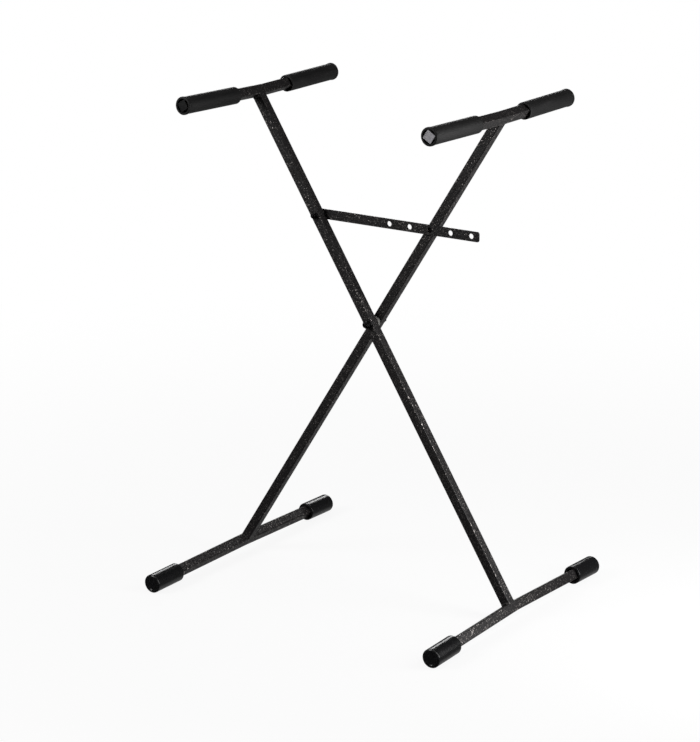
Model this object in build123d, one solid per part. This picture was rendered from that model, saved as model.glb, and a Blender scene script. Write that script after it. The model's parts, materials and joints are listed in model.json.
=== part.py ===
from build123d import *

import os
from math import asin, cos, radians, sin, sqrt

# Folding X-frame stand for orchestra bells, at its middle height setting.
# Millimetres. +X runs to the right across the X, +Y to the rear along the bars, +Z up.
# The origin is on the floor, midway between the feet and straight below the main pivot's bolt.
# The front leg leans to the left, the rear leg to the right, and each carries
# a support arm at its top and a foot bar at its bottom.

# Square steel tube of the legs, arms and foot bars
TUBE = 18.0
TUBE_WALL = 1.5
TUBE_CORNER = 2.0

# Legs, measured along the tube from the main pivot
LEG_TILT = 32.25
PIVOT_TO_ARM = 460.5
PIVOT_TO_FOOT = 558.0
LEG_GAP = 6.2

# Support arms: length over the sleeves, and how far each half rises to its end
ARM_LENGTH = 446.0
ARM_RISE = 1.1

# Foot bars: length over the caps, and how far each half drops to its end
FOOT_LENGTH = 550.0
FOOT_DROP = 1.4

# Middles along Y: each leg's bars this far from the origin's plane, on its leg's side,
# and the plane between the two legs this far in front of it
BAR_MIDDLE = 3.8
LEG_PLANE_FORWARD = 3.0

# Round sleeves on the arms
SLEEVE_DIAMETER = 30.5
SLEEVE_LENGTH = 146.0
SLEEVE_EDGE = 1.0
LIP_RISE = 0.7
LIP_LENGTH = 4.0
LIP_EDGE = 1.4
LIP_ROOT = 0.35

# Rubber caps on the foot bars
CAP_DIAMETER = 34.0
CAP_LENGTH = 72.0
CAP_END = 6.0
CAP_ROUND = 2.5
CAP_EDGE = 1.2

# Plugs in the arm ends
PLUG_HEAD = 17.0
PLUG_HEAD_CORNER = 1.2
PLUG_HEAD_ROUND = 0.4
PLUG_HEAD_THICKNESS = 2.5
PLUG_STEM_LENGTH = 14.0
PLUG_WALL = 1.6

# Weld beads
WELD_RADIUS = 3.5

# Main pivot, M8
PIVOT_BOLT_DIAMETER = 8.0
PIVOT_NUT_FLATS = 13.0
PIVOT_NUT_HEIGHT = 8.0
PIVOT_HEAD_HEIGHT = 5.3
PIVOT_WASHER_DIAMETER = 16.0
PIVOT_WASHER_THICKNESS = 1.6
PIVOT_SPACER_DIAMETER = 20.0
PIVOT_CRUSH_SLEEVE_DIAMETER = 12.0
PIVOT_BUSH_DIAMETER = 11.0

# Locking nuts: how much of the height the hexagon takes, and the collar in front of it
NUT_HEXAGON_SHARE = 0.68
NUT_COLLAR_SHARE = 0.89
NUT_COLLAR_ROUND = 1.0
CORNER_DEPTH = 0.6
BOLT_END = 1.5
BOLT_CHAMFER = 0.6

# Strut pivot, M6
STRUT_BOLT_DIAMETER = 6.0
STRUT_NUT_FLATS = 10.0
STRUT_NUT_HEIGHT = 6.0
STRUT_NUT_WASHER_DIAMETER = 12.0
STRUT_NUT_WASHER_THICKNESS = 1.6
STRUT_HEAD_DIAMETER = 10.5
STRUT_HEAD_HEIGHT = 3.3
STRUT_HEAD_ROUND = 2.3
STRUT_KEY_FLATS = 4.0
STRUT_KEY_DEPTH = 2.0
STRUT_WASHER_DIAMETER = 14.0
STRUT_WASHER_THICKNESS = 0.5
STRUT_CRUSH_SLEEVE_DIAMETER = 10.0

# Perforated strut, and the distance of its pivot and of the lock stud from the main pivot
LOCK_RADIUS = 215.0
STRUT_WIDTH = 18.0
STRUT_THICKNESS = 2.5
STRUT_CORNER = 4.0
STRUT_HEEL = 12.0
STRUT_TIP = 16.0
STRUT_EDGE = 0.4
HOLE_DIAMETER = 9.5
HOLE_PITCH = 42.0
HOLES_EACH_SIDE = 2

# Lock stud, riveted into the rear leg's front wall
STUD_DIAMETER = 8.5
STUD_FLANGE_DIAMETER = 12.0
STUD_FLANGE_THICKNESS = 0.8
STUD_DOME = 0.9
STUD_TAIL_DIAMETER = 11.0
STUD_TAIL_LENGTH = 1.6
STUD_TAIL_ROUND = 0.8
STUD_WASHER_DIAMETER = 14.0
STUD_WASHER_THICKNESS = 1.2

# Clearances
RUNNING_GAP = 0.3
SHAFT_CLEARANCE = 0.05
BOLT_CLEARANCE = 0.15
PUSH_CLEARANCE = 0.1

# Direction of a hexagon's corner, seen from the front
UP = (0, 0, 1)
RIGHT = (1, 0, 0)

# Worked out from the sizes above
TUBE_BORE = TUBE - 2 * TUBE_WALL
TUBE_BORE_CORNER = TUBE_CORNER - TUBE_WALL
TUBE_DIAGONAL = 2 * (sqrt(2) * (TUBE / 2 - TUBE_CORNER) + TUBE_CORNER)
SLOPE = asin(sin(radians(FOOT_DROP)) * cos(radians(LEG_TILT)))
PIVOT_HEIGHT = (
    PIVOT_TO_FOOT * cos(radians(LEG_TILT))
    + (FOOT_LENGTH / 2 - CAP_ROUND) * sin(SLOPE)
    + (CAP_DIAMETER / 2 - CAP_ROUND) * cos(SLOPE)
    + CAP_ROUND
)
LOCK_SPREAD = LOCK_RADIUS * sin(radians(LEG_TILT))
LOCK_HEIGHT = PIVOT_HEIGHT + LOCK_RADIUS * cos(radians(LEG_TILT))

# Faces met along Y at the two bolts, from front to rear
FRONT_LEG_REAR = -LEG_PLANE_FORWARD - LEG_GAP / 2
FRONT_LEG_FRONT = FRONT_LEG_REAR - TUBE
REAR_LEG_FRONT = -LEG_PLANE_FORWARD + LEG_GAP / 2
REAR_LEG_REAR = REAR_LEG_FRONT + TUBE
STRUT_FRONT = FRONT_LEG_REAR + STRUT_WASHER_THICKNESS + RUNNING_GAP
STRUT_REAR = STRUT_FRONT + STRUT_THICKNESS

# Axes along Y, as X and Z of each
PIVOT_AXIS = (0, PIVOT_HEIGHT)
STRUT_AXIS = (-LOCK_SPREAD, LOCK_HEIGHT)
STUD_AXIS = (LOCK_SPREAD, LOCK_HEIGHT)

# A leg is built upright with its pivot at the origin and its bars on the +Y side.
# The front leg is turned half round, so its inner face is the one at lower Y when built.
REAR_LEG = Pos(0, 0, PIVOT_HEIGHT) * Rot(0, LEG_TILT, 0)
FRONT_LEG = Rot(0, 0, 180) * REAR_LEG
REAR_INNER_FACE = REAR_LEG_FRONT
FRONT_INNER_FACE = -FRONT_LEG_REAR

# A bar is its height along the leg, its bend and the sense that points away from the pivot
ARM = (PIVOT_TO_ARM, ARM_RISE, 1)
FOOT = (-PIVOT_TO_FOOT, FOOT_DROP, -1)


# Round pieces along Y


def rod(axis, start, end, diameter):
    """A round bar along Y from start to end."""
    centre = Plane(origin=(axis[0], start, axis[1]), x_dir=(1, 0, 0), z_dir=(0, 1, 0))
    return extrude(centre * Circle(diameter / 2), end - start)


def ring(axis, start, end, diameter, bore):
    """A round ring along Y from start to end."""
    return rod(axis, start, end, diameter) - rod(axis, start, end, bore)


def hexagon(axis, start, end, flats, corner):
    """A hexagonal prism along Y with its corners turned off at both ends."""
    centre = Plane(origin=(axis[0], start, axis[1]), x_dir=corner, z_dir=(0, 1, 0))
    prism = extrude(centre * RegularPolygon(flats / 2, 6, major_radius=False), end - start)
    reach = flats / sqrt(3) - flats / 2
    turned = rod(axis, start, end, 2 * flats / sqrt(3))
    return prism & chamfer(turned.edges().filter_by(GeomType.CIRCLE), reach * CORNER_DEPTH, reach)


def lock_nut(axis, rear, height, flats, bore, corner):
    """A hexagon nut whose round collar in front holds a locking ring."""
    front = rear - height
    collar = rod(axis, front, rear - height * NUT_HEXAGON_SHARE / 2, flats * NUT_COLLAR_SHARE)
    collar = fillet(collar.edges().group_by(Axis.Y)[0], NUT_COLLAR_ROUND)
    nut = hexagon(axis, rear - height * NUT_HEXAGON_SHARE, rear, flats, corner) + collar
    return nut - rod(axis, front, rear, bore)


# Square tube


def tube_outline():
    return RectangleRounded(TUBE, TUBE, TUBE_CORNER)


def tube_section():
    return tube_outline() - RectangleRounded(TUBE_BORE, TUBE_BORE, TUBE_BORE_CORNER)


def along_bar(bar, side, distance):
    """Frame on a bar's axis, some way out from its middle, with Z pointing out along that half."""
    height, bend, away = bar
    out = Vector(0, side * cos(radians(bend)), away * sin(radians(bend)))
    return Plane(origin=Vector(0, BAR_MIDDLE, height) + out * distance, x_dir=(1, 0, 0), z_dir=out)


def bent_bar(bar, half_length, section):
    """A section swept along both halves of a bar, mitred where they meet."""
    ends = [along_bar(bar, side, half_length).origin for side in (-1, 1)]
    path = Polyline(ends[0], along_bar(bar, 1, 0).origin, ends[1])
    start = Plane(origin=path @ 0, x_dir=(1, 0, 0), z_dir=path % 0)
    return sweep(start * section, path=path, transition=Transition.RIGHT)


def arm_tube_half():
    return ARM_LENGTH / 2 - PLUG_HEAD_THICKNESS


def foot_tube_half():
    return FOOT_LENGTH / 2 - CAP_END


def leg_tube(inner, cuts):
    """A leg between its arm and its foot bar, coped to both and drilled from its inner face."""
    length = PIVOT_TO_ARM + PIVOT_TO_FOOT
    tube = Pos(0, inner + TUBE / 2, -PIVOT_TO_FOOT) * extrude(tube_section(), length)
    tube -= bent_bar(ARM, arm_tube_half(), tube_outline())
    tube -= bent_bar(FOOT, foot_tube_half(), tube_outline())
    for height, diameter, depth in cuts:
        tube -= rod((0, height), inner, inner + depth, diameter)
    return tube


def weld(inner, bar, half_length):
    """The two fillet beads across the tubes' width, in the corners of a joint."""
    height, _, away = bar
    leg = Pos(0, inner + TUBE / 2, 0) * Box(TUBE, TUBE, 2 * abs(height))
    crossing = bent_bar(bar, half_length, tube_outline())
    length = TUBE - 2 * TUBE_CORNER
    beads = []
    for face in (inner, inner + TUBE):
        corner = Pos(0, face, height - away * TUBE / 2) * Rot(0, 90, 0)
        beads += (corner * Cylinder(WELD_RADIUS, length) - leg - crossing).solids()
    return Compound(beads)


# Pieces on the bars' ends, built with their outer end at the origin and the bar running down -Z


def sleeve():
    """A round sleeve that the arm's corners hold, with a lip round its outer end."""
    lip = SLEEVE_DIAMETER + 2 * LIP_RISE
    body = Pos(0, 0, -SLEEVE_LENGTH) * extrude(Circle(SLEEVE_DIAMETER / 2), SLEEVE_LENGTH)
    body = fillet(body.edges().group_by(Axis.Z)[0], SLEEVE_EDGE)
    rim = Pos(0, 0, -LIP_LENGTH) * extrude(Circle(lip / 2), LIP_LENGTH)
    rim = fillet(rim.edges().group_by(Axis.Z)[-1], LIP_EDGE)
    rim = fillet(rim.edges().group_by(Axis.Z)[0], LIP_ROOT)
    bore = Pos(0, 0, -SLEEVE_LENGTH) * extrude(Circle(TUBE_DIAGONAL / 2 + PUSH_CLEARANCE), SLEEVE_LENGTH)
    return body + rim - bore


def cap():
    """A closed rubber cap that the foot bar's corners hold."""
    body = Pos(0, 0, -CAP_LENGTH) * extrude(Circle(CAP_DIAMETER / 2), CAP_LENGTH)
    body = fillet(body.edges().group_by(Axis.Z)[-1], CAP_ROUND)
    body = fillet(body.edges().group_by(Axis.Z)[0], CAP_EDGE)
    bore = extrude(Circle(TUBE_DIAGONAL / 2 + PUSH_CLEARANCE), CAP_LENGTH - CAP_END)
    return body - Pos(0, 0, -CAP_LENGTH) * bore


def plug():
    """A square plug whose head covers the tube's end and whose hollow stem grips its bore."""
    head = extrude(RectangleRounded(PLUG_HEAD, PLUG_HEAD, PLUG_HEAD_CORNER), -PLUG_HEAD_THICKNESS)
    head = fillet(head.edges().group_by(Axis.Z)[-1], PLUG_HEAD_ROUND)
    width = TUBE_BORE - 2 * PUSH_CLEARANCE
    hollow = width - 2 * PLUG_WALL
    stem = RectangleRounded(width, width, TUBE_BORE_CORNER) - Rectangle(hollow, hollow)
    return head + Pos(0, 0, -PLUG_HEAD_THICKNESS) * extrude(stem, -PLUG_STEM_LENGTH)


def on_bar(leg, bar, side, half_length, piece):
    """A piece set on the end of one half of a bar. Side 1 is the half further from the other leg."""
    return leg * along_bar(bar, side, half_length).location * piece


# Main pivot


def pivot_bolt():
    head_front = REAR_LEG_REAR + RUNNING_GAP + PIVOT_WASHER_THICKNESS
    tip = FRONT_LEG_FRONT - PIVOT_WASHER_THICKNESS - PIVOT_NUT_HEIGHT - BOLT_END
    shank = rod(PIVOT_AXIS, tip, head_front, PIVOT_BOLT_DIAMETER)
    shank = chamfer(shank.edges().group_by(Axis.Y)[0], BOLT_CHAMFER)
    head_rear = head_front + PIVOT_HEAD_HEIGHT
    return shank + hexagon(PIVOT_AXIS, head_front, head_rear, PIVOT_NUT_FLATS, UP)


def pivot_nut():
    rear = FRONT_LEG_FRONT - PIVOT_WASHER_THICKNESS
    return lock_nut(PIVOT_AXIS, rear, PIVOT_NUT_HEIGHT, PIVOT_NUT_FLATS, PIVOT_BOLT_DIAMETER, UP)


def pivot_washer(front):
    bore = PIVOT_BOLT_DIAMETER + 2 * BOLT_CLEARANCE
    return ring(PIVOT_AXIS, front, front + PIVOT_WASHER_THICKNESS, PIVOT_WASHER_DIAMETER, bore)


def pivot_spacer():
    bore = PIVOT_BOLT_DIAMETER + 2 * BOLT_CLEARANCE
    return ring(PIVOT_AXIS, FRONT_LEG_REAR, REAR_LEG_FRONT - RUNNING_GAP, PIVOT_SPACER_DIAMETER, bore)


def pivot_crush_sleeve():
    front, rear = FRONT_LEG_FRONT + TUBE_WALL, FRONT_LEG_REAR - TUBE_WALL
    bore = PIVOT_BOLT_DIAMETER + 2 * BOLT_CLEARANCE
    return ring(PIVOT_AXIS, front, rear, PIVOT_CRUSH_SLEEVE_DIAMETER, bore)


def pivot_bush():
    bore = PIVOT_BOLT_DIAMETER + 2 * SHAFT_CLEARANCE
    return ring(PIVOT_AXIS, REAR_LEG_FRONT, REAR_LEG_REAR, PIVOT_BUSH_DIAMETER, bore)


# Strut and its pivot


def strut():
    """The flat strut, whose middle hole lies over the lock stud."""
    span = STUD_AXIS[0] - STRUT_AXIS[0]
    length = STRUT_HEEL + span + HOLES_EACH_SIDE * HOLE_PITCH + STRUT_TIP
    middle = STRUT_AXIS[0] - STRUT_HEEL + length / 2
    face = Plane(origin=(middle, STRUT_FRONT, LOCK_HEIGHT), x_dir=(1, 0, 0), z_dir=(0, 1, 0))
    bar = extrude(face * RectangleRounded(length, STRUT_WIDTH, STRUT_CORNER), STRUT_THICKNESS)
    rims = bar.edges().group_by(Axis.Y)
    bar = chamfer(rims[0] + rims[-1], STRUT_EDGE)
    bar -= rod(STRUT_AXIS, STRUT_FRONT, STRUT_REAR, STRUT_BOLT_DIAMETER + 2 * SHAFT_CLEARANCE)
    for number in range(-HOLES_EACH_SIDE, HOLES_EACH_SIDE + 1):
        hole = (STUD_AXIS[0] + number * HOLE_PITCH, LOCK_HEIGHT)
        bar -= rod(hole, STRUT_FRONT, STRUT_REAR, HOLE_DIAMETER)
    return bar


def strut_bolt():
    """A low-headed bolt whose head lies behind the strut."""
    head_front = STRUT_REAR + RUNNING_GAP
    head_rear = head_front + STRUT_HEAD_HEIGHT
    tip = FRONT_LEG_FRONT - STRUT_NUT_WASHER_THICKNESS - STRUT_NUT_HEIGHT - BOLT_END
    shank = rod(STRUT_AXIS, tip, head_front, STRUT_BOLT_DIAMETER)
    shank = chamfer(shank.edges().group_by(Axis.Y)[0], BOLT_CHAMFER)
    head = rod(STRUT_AXIS, head_front, head_rear, STRUT_HEAD_DIAMETER)
    head = fillet(head.edges().group_by(Axis.Y)[-1], STRUT_HEAD_ROUND)
    key = Plane(origin=(STRUT_AXIS[0], head_rear, STRUT_AXIS[1]), x_dir=(1, 0, 0), z_dir=(0, 1, 0))
    socket = extrude(key * RegularPolygon(STRUT_KEY_FLATS / 2, 6, major_radius=False), -STRUT_KEY_DEPTH)
    return shank + head - socket


def strut_nut():
    rear = FRONT_LEG_FRONT - STRUT_NUT_WASHER_THICKNESS
    return lock_nut(STRUT_AXIS, rear, STRUT_NUT_HEIGHT, STRUT_NUT_FLATS, STRUT_BOLT_DIAMETER, RIGHT)


def strut_nut_washer():
    front = FRONT_LEG_FRONT - STRUT_NUT_WASHER_THICKNESS
    bore = STRUT_BOLT_DIAMETER + 2 * BOLT_CLEARANCE
    return ring(STRUT_AXIS, front, FRONT_LEG_FRONT, STRUT_NUT_WASHER_DIAMETER, bore)


def strut_washer():
    rear = FRONT_LEG_REAR + STRUT_WASHER_THICKNESS
    bore = STRUT_BOLT_DIAMETER + 2 * BOLT_CLEARANCE
    return ring(STRUT_AXIS, FRONT_LEG_REAR, rear, STRUT_WASHER_DIAMETER, bore)


def strut_crush_sleeve():
    front, rear = FRONT_LEG_FRONT + TUBE_WALL, FRONT_LEG_REAR - TUBE_WALL
    bore = STRUT_BOLT_DIAMETER + 2 * BOLT_CLEARANCE
    return ring(STRUT_AXIS, front, rear, STRUT_CRUSH_SLEEVE_DIAMETER, bore)


# Lock stud


def lock_stud():
    """A flanged stud whose domed tip stops just behind the strut."""
    tip = STRUT_REAR + RUNNING_GAP
    inside = REAR_LEG_FRONT + TUBE_WALL + STUD_WASHER_THICKNESS
    stud = rod(STUD_AXIS, tip, inside + STUD_TAIL_LENGTH, STUD_DIAMETER)
    stud = fillet(stud.edges().group_by(Axis.Y)[0], STUD_DOME)
    flange_front = REAR_LEG_FRONT - STUD_FLANGE_THICKNESS
    stud += rod(STUD_AXIS, flange_front, REAR_LEG_FRONT, STUD_FLANGE_DIAMETER)
    tail = rod(STUD_AXIS, inside, inside + STUD_TAIL_LENGTH, STUD_TAIL_DIAMETER)
    return stud + fillet(tail.edges().group_by(Axis.Y)[-1], STUD_TAIL_ROUND)


def lock_stud_washer():
    front = REAR_LEG_FRONT + TUBE_WALL
    return ring(STUD_AXIS, front, front + STUD_WASHER_THICKNESS, STUD_WASHER_DIAMETER, STUD_DIAMETER)


def leg_pieces(leg, inner, arm_side, foot_side, front, rear):
    """The arm, foot bar, welds, sleeves, plugs and caps of one leg, by name."""
    pieces = {
        f"{arm_side}_support_arm": leg * bent_bar(ARM, arm_tube_half(), tube_section()),
        f"{foot_side}_foot_bar": leg * bent_bar(FOOT, foot_tube_half(), tube_section()),
        f"{arm_side}_arm_weld": leg * weld(inner, ARM, arm_tube_half()),
        f"{foot_side}_foot_weld": leg * weld(inner, FOOT, foot_tube_half()),
    }
    for place, side in (("front", front), ("rear", rear)):
        pieces[f"{arm_side}_arm_{place}_sleeve"] = on_bar(leg, ARM, side, ARM_LENGTH / 2, sleeve())
        pieces[f"{arm_side}_arm_{place}_plug"] = on_bar(leg, ARM, side, ARM_LENGTH / 2, plug())
        pieces[f"{foot_side}_foot_{place}_cap"] = on_bar(leg, FOOT, side, FOOT_LENGTH / 2, cap())
    return pieces


def front_leg_tube():
    cuts = [
        (0, PIVOT_BOLT_DIAMETER + 2 * BOLT_CLEARANCE, TUBE),
        (LOCK_RADIUS, STRUT_BOLT_DIAMETER + 2 * BOLT_CLEARANCE, TUBE),
    ]
    return FRONT_LEG * leg_tube(FRONT_INNER_FACE, cuts)


def rear_leg_tube():
    cuts = [(0, PIVOT_BUSH_DIAMETER, TUBE), (LOCK_RADIUS, STUD_DIAMETER, TUBE_WALL)]
    return REAR_LEG * leg_tube(REAR_INNER_FACE, cuts)


def build():
    """Every piece of the stand, by name."""
    pieces = {
        "front_leg_tube": front_leg_tube(),
        "rear_leg_tube": rear_leg_tube(),
        "pivot_bolt": pivot_bolt(),
        "pivot_nut": pivot_nut(),
        "pivot_nut_washer": pivot_washer(FRONT_LEG_FRONT - PIVOT_WASHER_THICKNESS),
        "pivot_head_washer": pivot_washer(REAR_LEG_REAR + RUNNING_GAP),
        "pivot_spacer": pivot_spacer(),
        "pivot_crush_sleeve": pivot_crush_sleeve(),
        "pivot_bush": pivot_bush(),
        "locking_strut": strut(),
        "strut_bolt": strut_bolt(),
        "strut_nut": strut_nut(),
        "strut_nut_washer": strut_nut_washer(),
        "strut_washer": strut_washer(),
        "strut_crush_sleeve": strut_crush_sleeve(),
        "lock_stud": lock_stud(),
        "lock_stud_washer": lock_stud_washer(),
    }
    pieces.update(leg_pieces(FRONT_LEG, FRONT_INNER_FACE, "left", "right", front=1, rear=-1))
    pieces.update(leg_pieces(REAR_LEG, REAR_INNER_FACE, "right", "left", front=-1, rear=1))
    return pieces


os.makedirs("parts", exist_ok=True)
for name, piece in build().items():
    export_step(piece, f"parts/{name}.step")
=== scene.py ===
"""Looks of the folding X-frame stand for orchestra bells.

The CAD model gives every piece its place. This script dresses the square tubes, the strut and the hidden
fittings, replaces the moulded sleeves, caps and plugs, the weld beads, nuts, bolts and washers with finer
meshes, and lights the stand in a white studio. Metres, in the CAD model's own frame.
"""

import json
import logging
from collections.abc import Sequence
from dataclasses import dataclass, field
from enum import Enum
from functools import cache
from math import cos, hypot, pi, radians, sin, sqrt
from typing import Any, ClassVar

import bmesh
import bpy
from mathutils import Matrix, Vector
from mathutils.noise import noise


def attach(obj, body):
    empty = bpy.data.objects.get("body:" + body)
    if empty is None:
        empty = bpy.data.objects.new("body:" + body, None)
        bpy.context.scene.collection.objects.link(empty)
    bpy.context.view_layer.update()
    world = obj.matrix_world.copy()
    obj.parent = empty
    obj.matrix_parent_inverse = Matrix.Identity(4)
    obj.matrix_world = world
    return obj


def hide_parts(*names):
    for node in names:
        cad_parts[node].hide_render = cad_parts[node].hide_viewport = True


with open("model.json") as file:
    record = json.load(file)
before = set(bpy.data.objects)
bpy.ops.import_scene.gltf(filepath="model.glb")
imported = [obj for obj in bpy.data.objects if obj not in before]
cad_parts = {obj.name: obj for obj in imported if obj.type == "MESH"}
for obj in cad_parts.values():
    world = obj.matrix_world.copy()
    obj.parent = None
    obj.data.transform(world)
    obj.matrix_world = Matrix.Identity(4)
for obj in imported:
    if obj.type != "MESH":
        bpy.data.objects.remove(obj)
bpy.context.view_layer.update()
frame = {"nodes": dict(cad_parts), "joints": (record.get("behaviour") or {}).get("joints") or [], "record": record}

LOG = logging.getLogger("bell_stand")

MM = 0.001

Triple = tuple[float, float, float]
Colour = Triple
Outline = list[Vector]
Profile = list[tuple[float, float]]


class Leg(Enum):
    """The two legs, by the name of the body that each one is in."""

    FRONT = "front_leg"
    REAR = "rear_leg"


class Place(Enum):
    """The two halves of a bar, by where they lie on the stand."""

    FRONT = "front"
    REAR = "rear"


class Blend(Enum):
    """How a value runs from one end of its range to the other."""

    LINEAR = "LINEAR"
    SMOOTH = "SMOOTHSTEP"


@dataclass(frozen=True)
class Bar:
    """A support arm or a foot bar, bent at its middle, where it crosses its leg.

    Attributes:
        height: Distance along the leg from the main pivot to the bar's axis.
        bend: Angle in degrees by which each half leaves the level, away from the pivot.
        away: 1 where away from the pivot is up, -1 where it is down.
        reach: Distance along a half from the bar's middle to the outside of what covers its end.
    """

    height: float
    bend: float
    away: int
    reach: float


@dataclass(frozen=True)
class Layout:
    """The stand's driving sizes, and the frames in which its pieces are built."""

    tube: float = 18.0 * MM
    tube_corner: float = 2.0 * MM
    push_clearance: float = 0.1 * MM
    leg_tilt: float = 32.25
    leg_gap: float = 6.2 * MM
    bar_middle: float = 3.8 * MM
    lock_radius: float = 215.0 * MM
    arm: Bar = Bar(height=460.5 * MM, bend=1.1, away=1, reach=223.0 * MM)
    foot: Bar = Bar(height=-558.0 * MM, bend=1.4, away=-1, reach=275.0 * MM)

    @property
    def pivot(self) -> Vector:
        """The main pivot, halfway between the two legs."""
        joint = next(j for j in frame["joints"] if j["name"] == "fold")
        return Vector(joint["pos_m"])

    @property
    def front_leg_front(self) -> float:
        """Y of the front leg's front face."""
        return self.front_leg_rear - self.tube

    @property
    def front_leg_rear(self) -> float:
        """Y of the front leg's rear face."""
        return self.pivot.y - self.leg_gap / 2

    @property
    def rear_leg_front(self) -> float:
        """Y of the rear leg's front face."""
        return self.pivot.y + self.leg_gap / 2

    @property
    def rear_leg_rear(self) -> float:
        """Y of the rear leg's rear face."""
        return self.rear_leg_front + self.tube

    @property
    def push_bore(self) -> float:
        """Radius of a bore that is pushed over the rounded corners of the square tube."""
        return sqrt(2) * (self.tube / 2 - self.tube_corner) + self.tube_corner + self.push_clearance

    @property
    def lock_spread(self) -> float:
        """Distance of the strut's bolt and of the lock stud from the stand's middle, along X."""
        return self.lock_radius * sin(radians(self.leg_tilt))

    @property
    def lock_height(self) -> float:
        """Height of the strut's bolt and of the lock stud."""
        return self.pivot.z + self.lock_radius * cos(radians(self.leg_tilt))

    def leg_frame(self, leg: Leg) -> Matrix:
        """Gives the frame of a leg, with its pivot at the origin, its tube along Z and its bars at +Y.

        Args:
            leg: The leg.

        Returns:
            The matrix from the leg's frame to the stand's.
        """
        rear = Matrix.Translation((0, 0, self.pivot.z)) @ Matrix.Rotation(radians(self.leg_tilt), 4, "Y")
        return rear if leg is Leg.REAR else Matrix.Rotation(pi, 4, "Z") @ rear

    def bar_frame(self, leg: Leg, bar: Bar, place: Place, distance: float) -> Matrix:
        """Gives a frame on a bar's axis, with Z pointing out along that half.

        Args:
            leg: The leg that carries the bar.
            bar: The bar.
            place: The half of the bar.
            distance: How far out from the bar's middle the frame lies.

        Returns:
            The matrix from that frame to the stand's.
        """
        side = 1 if (leg is Leg.REAR) == (place is Place.REAR) else -1
        bend = radians(bar.bend)
        out = Vector((0, side * cos(bend), bar.away * sin(bend)))
        across = Vector((1, 0, 0))
        turn = Matrix((across, out.cross(across), out)).transposed().to_4x4()
        middle = Vector((0, self.bar_middle, bar.height))
        return self.leg_frame(leg) @ Matrix.Translation(middle + out * distance) @ turn

    def bolt_frame(self, x: float, z: float, y: float) -> Matrix:
        """Gives a frame on a bolt's axis, with Z pointing to the front of the stand.

        Args:
            x: X of the bolt's axis.
            z: Height of the bolt's axis.
            y: Where along the axis the frame's origin lies.

        Returns:
            The matrix from that frame to the stand's.
        """
        return Matrix.Translation((x, y, z)) @ Matrix.Rotation(pi / 2, 4, "X")


LAYOUT = Layout()


# Node trees


class Nodes:
    """A node tree, with short calls that add and join nodes."""

    def __init__(self, tree: bpy.types.NodeTree) -> None:
        """Takes the tree that the nodes go into.

        Args:
            tree: The node tree.
        """
        self.tree = tree

    def plug(self, socket: Any, value: Any) -> None:
        """Links a value to an input socket, or writes it there if it is a constant.

        Args:
            socket: The input socket.
            value: An output socket, a number, a vector or a colour.
        """
        if isinstance(value, bpy.types.NodeSocket):
            self.tree.links.new(value, socket)
        elif socket.type == "RGBA":
            socket.default_value = (*value, 1.0)
        else:
            socket.default_value = value

    def node(self, kind: str, settings: dict[str, Any] | None = None, **inputs: Any) -> Any:
        """Adds a node.

        Args:
            kind: Blender's name for the node.
            settings: Its own settings.
            **inputs: Sockets or constants by input name, with underscores for spaces.

        Returns:
            The node.
        """
        node = self.tree.nodes.new(kind)
        for name, value in (settings or {}).items():
            setattr(node, name, value)
        for name, value in inputs.items():
            self.plug(node.inputs[name.replace("_", " ")], value)
        return node

    def maths(self, operation: str, *values: Any) -> Any:
        """Adds a Math node.

        Args:
            operation: Blender's name for the operation.
            *values: Its operands.

        Returns:
            The value socket.
        """
        node = self.node("ShaderNodeMath", {"operation": operation})
        for socket, value in zip(node.inputs, values):
            self.plug(socket, value)
        return node.outputs["Value"]

    def span(
        self,
        value: Any,
        source: tuple[float, float],
        target: tuple[float, float] = (0.0, 1.0),
        blend: Blend = Blend.LINEAR,
    ) -> Any:
        """Maps a value from one range to another and clamps it.

        Args:
            value: The value socket.
            source: Range that is read.
            target: Range that is given.
            blend: How it runs in between.

        Returns:
            The value socket.
        """
        ends = {"From_Min": source[0], "From_Max": source[1], "To_Min": target[0], "To_Max": target[1]}
        node = self.node("ShaderNodeMapRange", {"interpolation_type": blend.value}, Value=value, **ends)
        return node.outputs["Result"]

    def mix(self, share: Any, first: Any, second: Any) -> Any:
        """Mixes two colours.

        Args:
            share: Share of the second colour.
            first: Colour or socket at 0.
            second: Colour or socket at 1.

        Returns:
            The colour socket.
        """
        node = self.node("ShaderNodeMix", {"data_type": "RGBA"})
        sockets = {socket.identifier: socket for socket in node.inputs}
        for identifier, value in (("Factor_Float", share), ("A_Color", first), ("B_Color", second)):
            self.plug(sockets[identifier], value)
        return next(socket for socket in node.outputs if socket.identifier == "Result_Color")


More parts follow.
